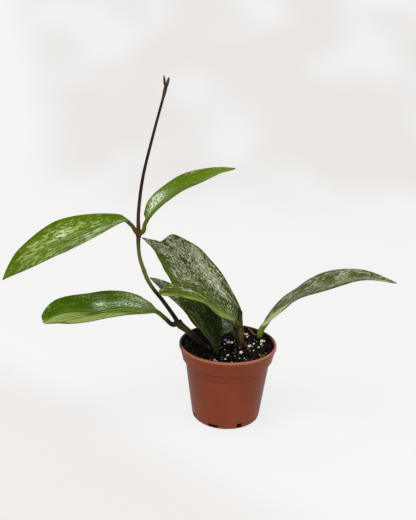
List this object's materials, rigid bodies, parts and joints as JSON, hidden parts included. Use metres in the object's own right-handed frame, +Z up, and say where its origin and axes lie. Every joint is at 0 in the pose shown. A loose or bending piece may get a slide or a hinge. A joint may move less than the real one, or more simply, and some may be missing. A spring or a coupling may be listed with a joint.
{
  "type": "potted hoya plant",
  "caption": "Young climbing hoya with long silver-splashed green leaves and a thin vine, standing in dark potting soil in a small round terracotta-coloured plastic pot.",
  "frame": {"origin": "middle of the pot's underside, in the plane where the pot stands", "axes": "+Z up; -X is the way the vine and most of the leaves grow; +Y points away from the side the picture shows"},
  "size_m": [0.3064, 0.097, 0.2796],
  "materials": {
    "pot_plastic": "satin terracotta-coloured plastic",
    "potting_soil": "dark crumbly peat with pale perlite grains",
    "vine_peel": "olive to brown stem skin, slightly waxy",
    "cutting_peel": "olive-brown stem skin with a dried cut",
    "leaf_green": "waxy bright green leaf with pale splashes",
    "leaf_dark": "waxy dark green leaf",
    "leaf_silver": "waxy green leaf with many silver splashes"
  },
  "bodies": {
    "root": {"pot": "pot_plastic", "soil": "potting_soil", "left_stem": "vine_peel", "centre_stem": "cutting_peel", "leaf_upper_left": "leaf_green", "leaf_upper_right": "leaf_green", "leaf_lower_left": "leaf_dark", "leaf_centre_back": "leaf_silver", "leaf_centre_front": "leaf_green", "leaf_shaded": "leaf_dark", "leaf_silver_low": "leaf_silver", "leaf_right": "leaf_silver"}
  },
  "joints": []
}
